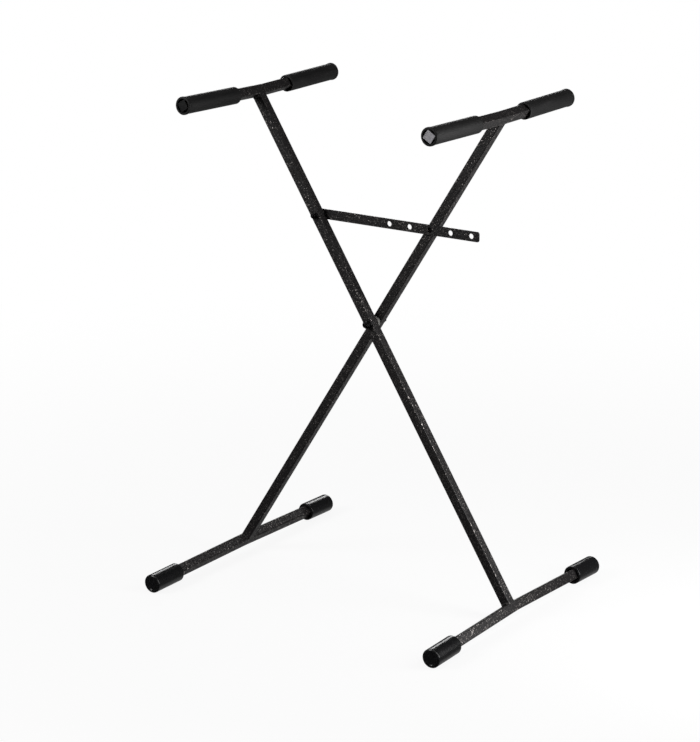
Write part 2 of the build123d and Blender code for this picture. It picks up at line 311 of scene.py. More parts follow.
class Shade(Nodes):
    """A material's node tree, with a short call for each texture that the finishes use."""

    def __init__(self, name: str) -> None:
        """Starts a material.

        Args:
            name: The material's name.
        """
        self.material = bpy.data.materials.new(name)
        self.material.use_nodes = True
        super().__init__(self.material.node_tree)
        self.shader = self.tree.nodes["Principled BSDF"]
        self.object_space = self.node("ShaderNodeTexCoord").outputs["Object"]

    def put(self, **values: Any) -> None:
        """Sets the shader's own sockets.

        Args:
            **values: Values by socket name, with underscores for spaces.
        """
        for name, value in values.items():
            self.plug(self.shader.inputs[name.replace("_", " ")], value)

    def placed(self, scale: Triple = (1.0, 1.0, 1.0), turn: Triple = (0.0, 0.0, 0.0)) -> Any:
        """Gives Object coordinates turned and stretched along the axes.

        Args:
            scale: Factor on each axis.
            turn: Turn about each axis, in radians.

        Returns:
            The vector socket.
        """
        node = self.node("ShaderNodeMapping", Vector=self.object_space, Rotation=turn, Scale=scale)
        return node.outputs["Vector"]

    def clouds(
        self, size: float, detail: float = 2.0, rough: float = 0.5, warp: float = 0.0, space: Any = None
    ) -> Any:
        """Gives a noise from 0 to 1.

        Args:
            size: Length of its features in metres.
            detail: Number of finer layers.
            rough: Share of each finer layer.
            warp: How far it is distorted.
            space: Vector socket to read, Object coordinates where it is None.

        Returns:
            The value socket.
        """
        inputs = {"Scale": 1 / size, "Detail": detail, "Roughness": rough, "Distortion": warp}
        return self.node("ShaderNodeTexNoise", Vector=space or self.object_space, **inputs).outputs["Fac"]

    def sum(self, start: float, *terms: tuple[Any, float]) -> Any:
        """Adds values to a number, each times its share.

        Args:
            start: The number.
            *terms: Pairs of a value socket and its share.

        Returns:
            The value socket.
        """
        total: Any = start
        for value, share in terms:
            total = self.maths("MULTIPLY_ADD", value, share, total)
        return total

    def relief(self, height: Any, depth: float, strength: float = 1.0, under: Any = None) -> Any:
        """Gives a bumped normal.

        Args:
            height: Height from 0 to 1, as a socket.
            depth: Height in metres of a full step.
            strength: Share of the bump that is used.
            under: Normal on which this one is laid.

        Returns:
            The normal socket.
        """
        node = self.node("ShaderNodeBump", Strength=strength, Distance=depth, Height=height)
        if under is not None:
            self.plug(node.inputs["Normal"], under)
        return node.outputs["Normal"]


# Finishes, each with the record's material slot as its name


@dataclass(frozen=True)
class PowderCoat:
    """Black structured powder coat: a dense coat of low bumps, strewn with paler metallic flecks."""

    name: str = "powder_coat"
    base: Colour = (0.0068, 0.0056, 0.0059)
    crest: Colour = (0.54, 0.5, 0.48)
    bump_size: float = 3.0 * MM
    bump_depth: float = 0.3 * MM
    fleck_turn: Triple = (0.5, 0.3, 0.9)
    fleck_edge: tuple[float, float] = (0.60, 0.68)
    patch_size: float = 34.0 * MM
    grit_size: float = 0.6 * MM
    grit_depth: float = 0.06 * MM

    def paint(self, shade: Shade) -> None:
        """Wires the coat.

        Args:
            shade: The material's node tree.
        """
        coat = {"size": self.bump_size, "detail": 1.5, "rough": 0.45, "warp": 0.9}
        bumps = shade.clouds(**coat)
        patches = shade.clouds(self.patch_size, detail=2)
        grit = shade.clouds(self.grit_size, detail=1)
        flakes = shade.clouds(**coat, space=shade.placed(turn=self.fleck_turn))
        crests = shade.span(flakes, self.fleck_edge, blend=Blend.SMOOTH)
        flecks = shade.maths("MULTIPLY", crests, shade.span(patches, (0.3, 0.7), (0.3, 1.0)))
        under = shade.relief(grit, self.grit_depth, 0.5)
        shade.put(
            Base_Color=shade.mix(flecks, self.base, self.crest),
            Metallic=shade.span(flecks, (0.02, 0.3)),
            Roughness=shade.sum(0.36, (crests, -0.12), (patches, 0.14), (grit, 0.08)),
            Specular_IOR_Level=0.42,
            Normal=shade.relief(shade.span(bumps, (0.3, 0.8)), self.bump_depth, under=under),
        )


@dataclass(frozen=True)
class SleevePlastic:
    """Satin black sleeve: fine moulded grain, and faint rubbed streaks along it."""

    name: str = "arm_sleeve"
    base: Colour = (0.0036, 0.0034, 0.0036)
    worn: Colour = (0.0085, 0.008, 0.0082)
    grain_size: float = 0.45 * MM
    grain_depth: float = 0.05 * MM
    rub_size: float = 7.0 * MM
    rub_stretch: Triple = (1.0, 0.16, 1.0)
    bloom_size: float = 42.0 * MM

    def paint(self, shade: Shade) -> None:
        """Wires the plastic.

        Args:
            shade: The material's node tree.
        """
        grain = shade.clouds(self.grain_size, detail=2)
        rub = shade.clouds(self.rub_size, detail=3, space=shade.placed(self.rub_stretch))
        bloom = shade.clouds(self.bloom_size, detail=2)
        masked = shade.span(bloom, (0.35, 0.7), (0.4, 1.0))
        dulled = shade.maths("MULTIPLY", shade.span(rub, (0.48, 0.72)), masked)
        shade.put(
            Base_Color=shade.mix(dulled, self.base, self.worn),
            Roughness=shade.sum(0.46, (rub, 0.1), (grain, 0.06), (bloom, 0.08)),
            Specular_IOR_Level=0.32,
            Normal=shade.relief(grain, self.grain_depth, 0.1),
        )


@dataclass(frozen=True)
class FootRubber:
    """Semi-gloss black rubber: smooth moulded skin, slightly mottled, dusty near the floor."""

    name: str = "foot_rubber"
    base: Colour = (0.006, 0.006, 0.0065)
    dust: Colour = (0.045, 0.043, 0.04)
    dust_heights: tuple[float, float] = (7.0 * MM, 0.5 * MM)
    mottle_size: float = 11.0 * MM
    mottle_depth: float = 0.05 * MM
    pore_size: float = 0.5 * MM

    def paint(self, shade: Shade) -> None:
        """Wires the rubber.

        Args:
            shade: The material's node tree.
        """
        mottle = shade.clouds(self.mottle_size, detail=3)
        pores = shade.clouds(self.pore_size, detail=1)
        height = shade.node("ShaderNodeSeparateXYZ", Vector=shade.object_space).outputs["Z"]
        low = shade.span(height, self.dust_heights)
        dusty = shade.maths("MULTIPLY", low, shade.span(mottle, (0.42, 0.68)))
        shade.put(
            Base_Color=shade.mix(dusty, self.base, self.dust),
            Roughness=shade.sum(0.12, (mottle, 0.14), (pores, 0.05), (dusty, 0.25)),
            Specular_IOR_Level=0.5,
            Normal=shade.relief(mottle, self.mottle_depth, 0.2),
        )


@dataclass(frozen=True)
class MouldedPlug:
    """Matt moulded plastic of the end plugs, mottled by flow marks and fine scuffs."""

    name: str
    base: Colour
    mark: Colour
    flow_size: float = 2.6 * MM
    flow_depth: float = 0.1 * MM
    grain_size: float = 0.35 * MM
    grain_depth: float = 0.04 * MM

    def paint(self, shade: Shade) -> None:
        """Wires the plug's plastic.

        Args:
            shade: The material's node tree.
        """
        flow = shade.clouds(self.flow_size, detail=3, rough=0.6, warp=0.8)
        grain = shade.clouds(self.grain_size, detail=1)
        marks = shade.span(shade.sum(0.0, (flow, 0.75), (grain, 0.25)), (0.4, 0.62))
        under = shade.relief(flow, self.flow_depth, 0.4)
        shade.put(
            Base_Color=shade.mix(marks, self.base, self.mark),
            Roughness=shade.span(flow, (0.3, 0.7), (0.62, 0.46)),
            Specular_IOR_Level=0.22,
            Normal=shade.relief(grain, self.grain_depth, 0.5, under=under),
        )


@dataclass(frozen=True)
class TurnedMetal:
    """Steel of the fittings: fine drawing lines, a plated or oxidised colour and small dull patches."""

    name: str
    base: Colour
    dull: Colour
    roughness: float
    patch_size: float = 3.5 * MM
    line_size: float = 0.4 * MM
    line_stretch: Triple = (1.0, 0.08, 1.0)
    line_depth: float = 0.03 * MM

    def paint(self, shade: Shade) -> None:
        """Wires the metal.

        Args:
            shade: The material's node tree.
        """
        patches = shade.clouds(self.patch_size, detail=3)
        lines = shade.clouds(self.line_size, detail=1, space=shade.placed(self.line_stretch))
        shade.put(
            Base_Color=shade.mix(shade.span(patches, (0.45, 0.65)), self.base, self.dull),
            Metallic=1.0,
            Roughness=shade.sum(self.roughness - 0.14, (patches, 0.18), (lines, 0.1)),
            Normal=shade.relief(lines, self.line_depth, 0.4),
        )


@dataclass(frozen=True)
class Nylon:
    """Natural nylon of the bearing pieces: slightly translucent and greyed where it rubs; its base and rubbed
    colours are painted far darker than milky nylon, as painted shade for the gap between the legs where it sits.
    """

    name: str = "light_nylon"
    # base: painted shade, milky nylon coloured dark to stand for the shaded gap between the legs
    base: Colour = (0.17, 0.167, 0.16)
    # darker rub smears, painted darker still as part of that painted shade
    rubbed: Colour = (0.06, 0.058, 0.055)
    smear_size: float = 2.2 * MM
    line_size: float = 0.5 * MM
    line_depth: float = 0.03 * MM

    def paint(self, shade: Shade) -> None:
        """Wires the nylon.

        Args:
            shade: The material's node tree.
        """
        smears = shade.clouds(self.smear_size, detail=3)
        lines = shade.clouds(self.line_size, detail=1)
        shade.put(
            # Painted shade: both colours sit far below milky nylon, so the spacer looks shaded in the gap between
            # the legs
            Base_Color=shade.mix(shade.span(smears, (0.48, 0.7)), self.base, self.rubbed),
            Roughness=shade.span(smears, (0.3, 0.7), (0.34, 0.5)),
            Subsurface_Weight=0.15,
            Subsurface_Radius=(0.8 * MM, 0.8 * MM, 0.7 * MM),
            Normal=shade.relief(lines, self.line_depth, 0.4),
        )


FINISHES = (
    PowderCoat(),
    SleevePlastic(),
    FootRubber(),
    MouldedPlug("black_plug", (0.0022, 0.0022, 0.0023), (0.0045, 0.0045, 0.0047)),
    MouldedPlug("grey_plug", (0.4, 0.39, 0.41), (0.29, 0.285, 0.305)),
    TurnedMetal("black_fastener", (0.035, 0.034, 0.035), (0.016, 0.0155, 0.016), 0.36),
    TurnedMetal("plain_steel", (0.56, 0.56, 0.57), (0.42, 0.42, 0.43), 0.32),
    Nylon(),
)


@cache
def finish_material(slot: str) -> bpy.types.Material:
    """Gives the one material of a finish.

    Args:
        slot: The record's material slot, which is the finish's name.

    Returns:
        The material.
    """
    shade = Shade(slot)
    next(finish for finish in FINISHES if finish.name == slot).paint(shade)
    return shade.material


# Meshes and objects


def circle(radius: float, height: float, steps: int) -> Outline:
    """Gives a circle about Z.

    Args:
        radius: Its radius, 0 for a pole.
        height: Its Z.
        steps: Number of points, unless it is a pole.

    Returns:
        The points in turn.
    """
    if radius == 0:
        return [Vector((0, 0, height))]
    turns = [2 * pi * i / steps for i in range(steps)]
    return [Vector((radius * cos(turn), radius * sin(turn), height)) for turn in turns]


def hexagon(flats: float, limit: float, height: float, steps: int) -> Outline:
    """Gives a hexagon about Z with a corner on X, turned down to a limiting radius.

    Args:
        flats: Width across its flats.
        limit: Radius beyond which nothing is left.
        height: Its Z.
        steps: Number of points, a multiple of 6.

    Returns:
        The points in turn.
    """
    points = []
    for turn in (2 * pi * i / steps for i in range(steps)):
        radius = min(flats / 2 / cos(turn % (pi / 3) - pi / 6), limit)
        points.append(Vector((radius * cos(turn), radius * sin(turn), height)))
    return points


def rounded_square(width: float, corner: float, height: float, corner_steps: int = 6) -> Outline:
    """Gives a square about Z with rounded corners.

    Args:
        width: Width across its sides.
        corner: Radius of its corners.
        height: Its Z.
        corner_steps: Number of steps round each corner.

    Returns:
        The points in turn.
    """
    points = []
    for quarter in range(4):
        start = quarter * pi / 2
        middle = Vector((width / 2 - corner, width / 2 - corner, height))
        middle.rotate(Matrix.Rotation(start, 3, "Z"))
        for step in range(corner_steps + 1):
            angle = start + pi / 2 * step / corner_steps
            points.append(middle + Vector((cos(angle), sin(angle), 0)) * corner)
    return points


def arc(middle: tuple[float, float], radius: float, start: float, end: float, steps: int = 6) -> Profile:
    """Gives points of an arc in a profile of radius and height.

    Args:
        middle: The arc's middle, as radius and height.
        radius: The arc's radius.
        start: Its first angle in degrees, 0 pointing outwards and 90 up.
        end: Its last angle.
        steps: Number of steps.

    Returns:
        The points as pairs of radius and height.
    """
    angles = [radians(start + (end - start) * step / steps) for step in range(steps + 1)]
    return [(middle[0] + radius * cos(angle), middle[1] + radius * sin(angle)) for angle in angles]


def loft(loops: Sequence[Outline], ring: bool = False) -> bmesh.types.BMesh:
    """Bridges outlines in turn into a closed shape, with its faces outwards.

    Args:
        loops: Outlines with equally many points. An outline of one point is a pole.
        ring: Whether the last outline meets the first, as round a bore.

    Returns:
        The shape.
    """
    shape = bmesh.new()
    rows = [[shape.verts.new(point) for point in loop] for loop in loops]
    pairs = list(zip(rows, rows[1:])) + ([(rows[-1], rows[0])] if ring else [])
    for lower, upper in pairs:
        count = max(len(lower), len(upper))
        for i in range(count):
            j = (i + 1) % count
            corners = [row[k % len(row)] for row, k in ((lower, i), (lower, j), (upper, j), (upper, i))]
            shape.faces.new(list(dict.fromkeys(corners)))
    bmesh.ops.recalc_face_normals(shape, faces=shape.faces)
    return shape


def turned(profile: Profile, steps: int, ring: bool = False) -> bmesh.types.BMesh:
    """Turns a profile about Z.

    Args:
        profile: Pairs of radius and height. A radius of 0 at an end is a pole.
        steps: Number of points round each circle.
        ring: Whether the profile closes on itself.

    Returns:
        The shape.
    """
    return loft([circle(radius, height, steps) for radius, height in profile], ring)


def add_object(name: str, data: Any) -> bpy.types.Object:
    """Puts an object with the given data into the scene.

    Args:
        name: Name of the object.
        data: Its mesh, lamp or camera.

    Returns:
        The object.
    """
    thing = bpy.data.objects.new(name, data)
    bpy.context.scene.collection.objects.link(thing)
    return thing


def finish_shape(
    shape: bmesh.types.BMesh, name: str, place: Matrix, crease: float = 32.0
) -> bpy.types.Object:
    """Turns a shape into an object at the origin, with its place in its mesh.

    Args:
        shape: The shape, which is used up.
        name: Name of the object.
        place: Matrix from the shape's frame to the stand's.
        crease: Angle in degrees beyond which an edge is sharp.

    Returns:
        The object.
    """
    shape.transform(place)
    for face in shape.faces:
        face.smooth = True
    for edge in shape.edges:
        edge.smooth = edge.calc_face_angle(0.0) < radians(crease)
    mesh = bpy.data.meshes.new(name)
    shape.to_mesh(mesh)
    shape.free()
    return add_object(name, mesh)


def settle(piece: bpy.types.Object, node: str, slot: str, kind: str) -> None:
    """Dresses a piece, sets it on the body of the CAD node that it replaces and reports it.

    Args:
        piece: The piece.
        node: The CAD node.
        slot: The record's material slot.
        kind: Words for the report.
    """
    body = next(name for name, nodes in frame["record"]["behaviour"]["bodies"].items() if node in nodes)
    if not piece.data.materials:
        piece.data.materials.append(finish_material(slot))
    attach(piece, body)
    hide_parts(node)
    LOG.info("%s: %s, %d faces, on %s", piece.name, kind, len(piece.data.polygons), body)


# Geometry Nodes


class NodeShape(Nodes):
    """A Geometry Nodes tree with named inputs, whose result is kept as a plain mesh."""

    def __init__(self, name: str, *numbers: str) -> None:
        """Starts a tree with its geometry, its finish and its numbers.

        Args:
            name: The tree's name.
            *numbers: Names of the numbers among its inputs.
        """
        super().__init__(bpy.data.node_groups.new(name, "GeometryNodeTree"))
        self.tree.is_modifier = True
        self.tree.interface.new_socket("Geometry", in_out="OUTPUT", socket_type="NodeSocketGeometry")
        inputs = {"Geometry": "Geometry", "Finish": "Material"} | dict.fromkeys(numbers, "Float")
        for label, kind in inputs.items():
            self.tree.interface.new_socket(label, in_out="INPUT", socket_type=f"NodeSocket{kind}")
        self.source = self.node("NodeGroupInput")
        self.sink = self.node("NodeGroupOutput")

    def close(self, geometry: Any) -> None:
        """Ends the tree in smooth, real geometry with its finish.

        Args:
            geometry: The geometry socket.
        """
        finish = self.source.outputs["Finish"]
        smooth = self.node("GeometryNodeSetShadeSmooth", Geometry=geometry).outputs["Geometry"]
        real = self.node("GeometryNodeRealizeInstances", Geometry=smooth).outputs["Geometry"]
        dressed = self.node("GeometryNodeSetMaterial", Geometry=real, Material=finish)
        self.plug(self.sink.inputs["Geometry"], dressed.outputs["Geometry"])

    def mesh(self, start: bpy.types.Mesh, values: dict[str, Any]) -> bpy.types.Mesh:
        """Runs the tree and keeps its result.

        Args:
            start: The mesh that the tree is given.
            values: The inputs by name.

        Returns:
            A plain mesh.
        """
        carrier = add_object(start.name, start)
        modifier = carrier.modifiers.new(self.tree.name, "NODES")
        modifier.node_group = self.tree
        for item in self.tree.interface.items_tree:
            if item.in_out == "INPUT" and item.name in values:
                modifier[item.identifier] = values[item.name]
        depsgraph = bpy.context.evaluated_depsgraph_get()
        result = bpy.data.meshes.new_from_object(carrier.evaluated_get(depsgraph))
        carrier.modifiers.remove(modifier)
        bpy.data.objects.remove(carrier)
        return result


class ThreadTree(NodeShape):
    """A screw thread's crest, wound round Z from the origin upwards."""

    steps: ClassVar[int] = 24
    ridge_sides: ClassVar[int] = 4

    def __init__(self) -> None:
        """Builds the tree: a helix swept with a small ridge."""
        super().__init__("screw_thread", "Radius", "Pitch", "Turns", "Depth")
        given = self.source.outputs
        helix = self.node(
            "GeometryNodeCurveSpiral",
            Resolution=self.steps,
            Rotations=given["Turns"],
            Start_Radius=given["Radius"],
            End_Radius=given["Radius"],
            Height=self.maths("MULTIPLY", given["Pitch"], given["Turns"]),
        )
        ridge = self.node(
            "GeometryNodeCurvePrimitiveCircle", Resolution=self.ridge_sides, Radius=given["Depth"]
        )
        swept = self.node(
            "GeometryNodeCurveToMesh",
            Curve=helix.outputs["Curve"],
            Profile_Curve=ridge.outputs["Curve"],
            Fill_Caps=True,
        )
        self.close(swept.outputs["Mesh"])


class BeadTree(NodeShape):
    """Weld beads along the edges of the given mesh, with the ripples of a pool that froze step by step."""

    points: ClassVar[int] = 72
    sides: ClassVar[int] = 20
    taper_reach: ClassVar[float] = 1.8
    taper_power: ClassVar[float] = 6.0
    grain_size: ClassVar[float] = 1.6 * MM

    def __init__(self) -> None:
        """Builds the tree: resampled seams, rippled and tapered radii, a swept circle and unevenness."""
        super().__init__("weld_bead", "Radius", "Ripple", "Pitch", "Unevenness", "Seed")
        given = self.source.outputs
        curve = self.node("GeometryNodeMeshToCurve", Mesh=given["Geometry"]).outputs["Curve"]
        fine = self.node("GeometryNodeResampleCurve", Curve=curve, Count=self.points)
        circle_profile = self.node(
            "GeometryNodeCurvePrimitiveCircle", Resolution=self.sides, Radius=given["Radius"]
        )
        swept = self.node(
            "GeometryNodeCurveToMesh",
            Curve=fine.outputs["Curve"],
            Profile_Curve=circle_profile.outputs["Curve"],
            Scale=self.thickness(given["Ripple"], given["Pitch"]),
            Fill_Caps=True,
        )
        inputs = {"W": given["Seed"], "Scale": 1 / self.grain_size, "Detail": 1.0}
        grain = self.node("ShaderNodeTexNoise", {"noise_dimensions": "4D"}, **inputs).outputs["Fac"]
        lift = self.maths("MULTIPLY", self.maths("SUBTRACT", grain, 0.5), given["Unevenness"])
        normal = self.node("GeometryNodeInputNormal").outputs["Normal"]
        push = self.node("ShaderNodeVectorMath", {"operation": "SCALE"}, Scale=lift)
        self.plug(push.inputs[0], normal)
        rough = self.node(
            "GeometryNodeSetPosition", Geometry=swept.outputs["Mesh"], Offset=push.outputs["Vector"]
        )
        self.close(rough.outputs["Geometry"])

    def thickness(self, ripple: Any, pitch: Any) -> Any:
        """Gives the bead's thickness along its seam, rippled and drawn in at both ends.

        Args:
            ripple: Socket of the ripples' share of the radius.
            pitch: Socket of the ripples' length.

        Returns:
            The value socket, 1 where the bead is full.
        """
        along = self.node("GeometryNodeSplineParameter").outputs
        phase = self.maths("MULTIPLY", self.maths("DIVIDE", along["Length"], pitch), 2 * pi)
        wave = self.maths("MULTIPLY", self.maths("ABSOLUTE", self.maths("SINE", phase)), ripple)
        middle = self.maths("ABSOLUTE", self.maths("SUBTRACT", along["Factor"], 0.5))
        near_end = self.maths("POWER", self.maths("MULTIPLY", middle, self.taper_reach), self.taper_power)
        return self.maths(
            "MULTIPLY", self.maths("SUBTRACT", 1.0, wave), self.maths("SUBTRACT", 1.0, near_end)
        )


# Sub-assemblies


@dataclass
class KeptNodes:
    """The welded tubes, the strut and the hidden fittings, which keep their CAD shapes."""

    slots: tuple[str, ...] = ("powder_coat",)
    fittings: tuple[str, ...] = (
        "pivot_crush_sleeve",
        "pivot_bush",
        "strut_crush_sleeve",
        "strut_washer",
        "lock_stud",
        "lock_stud_washer",
    )

    def dress(self) -> None:
        """Gives every node of these slots, and each fitting, its finish."""
        for part in frame["record"]["subparts"]:
            node, slot = part["node"], part["material_slot"]
            if slot in self.slots or node in self.fittings:
                mesh = frame["nodes"][node].data
                mesh.materials.clear()
                mesh.materials.append(finish_material(slot))
                LOG.info("%s: CAD shape in %s", node, slot)


@dataclass(frozen=True)
class Wobble:
    """Slow unevenness of a moulded skin, which draws it in.

    Attributes:
        depth: How far it is drawn in at most.
        across: Cells of the noise per metre across the piece.
        along: Cells of the noise per metre along it.
        seed_step: Distance in the noise between two seeds.
        start: Depth below the piece's outer end at which it sets in.
        fade: Length over which it sets in.
        inner: Radius inside which nothing moves.
        line: How much less the mould lines at Y = 0 are drawn in.
        line_width: Distance from Y = 0 up to which a point is on a mould line.
    """

    depth: float
    across: float
    along: float
    seed_step: float
    start: float
    fade: float
    inner: float
    line: float = 0.0
    line_width: float = 0.4 * MM

    def draw_in(self, shape: bmesh.types.BMesh, seed: float) -> None:
        """Draws in the outside of a shape along -Z.

        Args:
            shape: The shape.
            seed: Sets where it is uneven.
        """
        for vertex in shape.verts:
            x, y, z = vertex.co
            radius = hypot(x, y)
            if radius < self.inner or z > -self.start:
                continue
            set_in = min(1.0, (-self.start - z) / self.fade)
            slow = noise(Vector((x * self.across, y * self.across, z * self.along + seed * self.seed_step)))
            spared = self.line if abs(y) < self.line_width else 0.0
            sink = max(0.0, self.depth * set_in * (0.5 + 0.5 * slow) - spared)
            vertex.co.xy *= 1 - sink / radius


@dataclass
class EndPiece:
    """A piece on or in one end of a bar, built along -Z from its outer end."""

    bar: ClassVar[Bar]
    label: ClassVar[str]
    words: ClassVar[str]
    wobble: ClassVar[Wobble | None] = None

    def shape(self) -> bmesh.types.BMesh:
        """Builds the piece in its own frame, with an even skin."""
        raise NotImplementedError

    def build(self, side: str, leg: Leg, place: Place, slot: str, seed: float = 0.0) -> None:
        """Builds and dresses one piece.

        Args:
            side: "left" or "right".
            leg: The leg that carries the bar.
            place: The bar's half.
            slot: The record's material slot.
            seed: Sets where its surface wobbles, if it does.
        """
        node = f"{side}_{self.label.format(place.value)}"
        where = LAYOUT.bar_frame(leg, self.bar, place, self.bar.reach)
        shape = self.shape()
        if self.wobble is not None:
            self.wobble.draw_in(shape, seed)
        settle(finish_shape(shape, f"{node}_moulding", where), node, slot, self.words)


@dataclass
class ArmSleeve(EndPiece):
    """A round sleeve on a support arm, with a lip at its outer end and a faint mould line on each side."""

    bar: ClassVar[Bar] = LAYOUT.arm
    label: ClassVar[str] = "arm_{}_sleeve"
    words: ClassVar[str] = "moulded sleeve"
    wobble: ClassVar[Wobble] = Wobble(
        depth=0.16 * MM,
        across=60.0,
        along=26.0,
        seed_step=7.3,
        start=4.0 * MM,
        fade=6.0 * MM,
        inner=LAYOUT.push_bore + 0.6 * MM,
        line=0.06 * MM,
    )

    diameter: float = 30.5 * MM
    length: float = 146.0 * MM
    inner_edge: float = 1.0 * MM
    lip_rise: float = 0.7 * MM
    lip_length: float = 4.0 * MM
    lip_edge: float = 1.4 * MM
    groove: float = 0.5 * MM
    chamfer: float = 0.5 * MM
    steps: int = 96
    rows: int = 36

    def profile(self) -> Profile:
        """Gives the sleeve's section from its bore's outer end, over the lip and along it to the inner end.

        Returns:
            Pairs of radius and height.
        """
        bore, body, edge = LAYOUT.push_bore, self.diameter / 2, self.inner_edge
        lip, groove = body + self.lip_rise, self.groove
        points = [(bore, -self.chamfer), (bore + self.chamfer, 0.0)]
        points += arc((lip - self.lip_edge, -self.lip_edge), self.lip_edge, 90, 0)
        points += arc((lip - groove, -self.lip_length + groove), groove, 0, -90, 4)
        points += arc((body, -self.lip_length - groove), groove, 90, 180, 4)[1:]
        points += arc((body, -self.lip_length - groove), groove, 180, 270, 4)[1:]
        start, end = -self.lip_length - 3 * groove, -self.length + edge
        points += [(body, start + (end - start) * i / self.rows) for i in range(self.rows)]
        points += arc((body - edge, end), edge, 0, -90)
        return points + [(bore + self.chamfer, -self.length), (bore, -self.length + self.chamfer)]

    def shape(self) -> bmesh.types.BMesh:
        """Builds one sleeve."""
        return turned(self.profile(), self.steps, ring=True)


@dataclass
class ArmPlug(EndPiece):
    """A square plug in an arm's end: a head with a raised rim and a hollow stem."""

    bar: ClassVar[Bar] = LAYOUT.arm
    label: ClassVar[str] = "arm_{}_plug"
    words: ClassVar[str] = "moulded plug"

    head: float = 17.0 * MM
    head_corner: float = 1.2 * MM
    head_round: float = 0.4 * MM
    thickness: float = 2.5 * MM
    rim: float = 1.5 * MM
    recess: float = 0.35 * MM
    crown: float = 0.45
    stem: float = 14.8 * MM
    stem_corner: float = 0.5 * MM
    stem_wall: float = 1.6 * MM
    stem_length: float = 14.0 * MM
    stem_taper: float = 0.8 * MM
    stem_lead: float = 1.0 * MM

    def shape(self) -> bmesh.types.BMesh:
        """Builds one plug from the face of its head.

        Returns:
            The shape.
        """
        middle, under = -self.recess * (1 - self.crown), -self.thickness
        end, hollow = under - self.stem_length, self.stem - 2 * self.stem_wall
        face = self.head - 2 * (self.rim + self.recess)
        head = [
            (face * share, self.head_corner * share, middle - self.recess * self.crown * share)
            for share in (0.3, 0.6, 0.9)
        ]
        head += [(face, self.head_corner, -self.recess), (self.head - 2 * self.rim, self.head_corner, 0.0)]
        flat = self.head - 2 * self.head_round
        edge = arc((0.0, -self.head_round), self.head_round, 90, 0, 4)
        head += [(flat + 2 * out, self.head_corner, height) for out, height in edge]
        head.append((self.head, self.head_corner, under))
        stem = [
            (self.stem, under),
            (self.stem, end + self.stem_lead),
            (self.stem - self.stem_taper, end),
            (hollow, end),
            (hollow, under),
        ]
        loops = [rounded_square(width, corner, height) for width, corner, height in head]
        loops += [rounded_square(width, self.stem_corner, height) for width, height in stem]
        return loft([[Vector((0, 0, middle))], *loops, [Vector((0, 0, under))]])


@dataclass
class FootCap(EndPiece):
    """A closed rubber cap on a foot bar, with a dished end and a turned-in mouth."""

    bar: ClassVar[Bar] = LAYOUT.foot
    label: ClassVar[str] = "foot_{}_cap"
    words: ClassVar[str] = "rubber cap"
    wobble: ClassVar[Wobble] = Wobble(
        depth=0.14 * MM,
        across=50.0,
        along=34.0,
        seed_step=5.1,
        start=2.5 * MM,
        fade=8.0 * MM,
        inner=15.75 * MM,
    )

    diameter: float = 34.0 * MM
    length: float = 72.0 * MM
    end: float = 6.0 * MM
    end_round: float = 2.5 * MM
    mouth_edge: float = 1.2 * MM
    chamfer: float = 0.6 * MM
    dish: float = 11.5 * MM
    dish_depth: float = 0.3 * MM
    dish_radii: tuple[float, ...] = (0.0, 4.0 * MM, 8.0 * MM, 11.1 * MM)
    steps: int = 96
    rows: int = 20

    def profile(self) -> Profile:
        """Gives the cap's section from the middle of its end, along it and back inside to the bore's floor.

        Returns:
            Pairs of radius and height.
        """
        outer, bore, edge = self.diameter / 2, LAYOUT.push_bore, self.mouth_edge
        points = [(radius, -self.dish_depth) for radius in self.dish_radii] + [(self.dish, 0.0)]
        points += arc((outer - self.end_round, -self.end_round), self.end_round, 90, 0, 9)
        start, end = -self.end_round, -self.length + edge
        points += [(outer, start + (end - start) * i / self.rows) for i in range(1, self.rows)]
        points += arc((outer - edge, end), edge, 0, -90)
        points += [(bore + self.chamfer, -self.length), (bore, -self.length + self.chamfer)]
        return points + [(bore, -self.end), (0.0, -self.end)]

    def shape(self) -> bmesh.types.BMesh:
        """Builds one cap."""
        return turned(self.profile(), self.steps)


@dataclass
class Welds:
    """The fillet beads in the corners between each leg and its two bars, under the powder coat."""

    leg_length: float = 3.5 * MM
    bead: float = 2.3 * MM
    ripple: float = 0.14
    pitch: float = 2.6 * MM
    unevenness: float = 0.5 * MM
    tree: BeadTree = field(default_factory=BeadTree)

    def seam(self, leg: Leg, bar: Bar, name: str) -> bpy.types.Mesh:
        """Gives the two seams of one joint as edges, set out from the corners where leg and bar meet.

        Args:
            leg: The leg.
            bar: The bar welded across it.
            name: Name of the mesh.

        Returns:
            A mesh of two edges, in the stand's frame.
        """
        half = LAYOUT.tube / 2 - LAYOUT.tube_corner
        inner = LAYOUT.rear_leg_front if leg is Leg.REAR else -LAYOUT.front_leg_rear
        out = self.leg_length - self.bead
        height = bar.height - bar.away * (LAYOUT.tube / 2 + out)
        points = [
            LAYOUT.leg_frame(leg) @ Vector((end * half, face + sense * out, height))
            for face, sense in ((inner, -1), (inner + LAYOUT.tube, 1))
            for end in (-1, 1)
        ]
        mesh = bpy.data.meshes.new(name)
        mesh.from_pydata(points, [(0, 1), (2, 3)], [])
        return mesh

    def build(self, node: str, leg: Leg, bar: Bar, seed: float) -> None:
        """Builds and dresses the beads of one joint.

        Args:
            node: The CAD node of the beads.
            leg: The leg.
            bar: The bar welded across it.
            seed: Sets the beads' unevenness.
        """
        values = {
            "Radius": self.bead,
            "Ripple": self.ripple,
            "Pitch": self.pitch,
            "Unevenness": self.unevenness,
            "Seed": seed,
            "Finish": finish_material("powder_coat"),
        }
        mesh = self.tree.mesh(self.seam(leg, bar, f"{node}_seams"), values)
        mesh.name = f"{node}_beads"
        settle(add_object(mesh.name, mesh), node, "powder_coat", "weld beads")


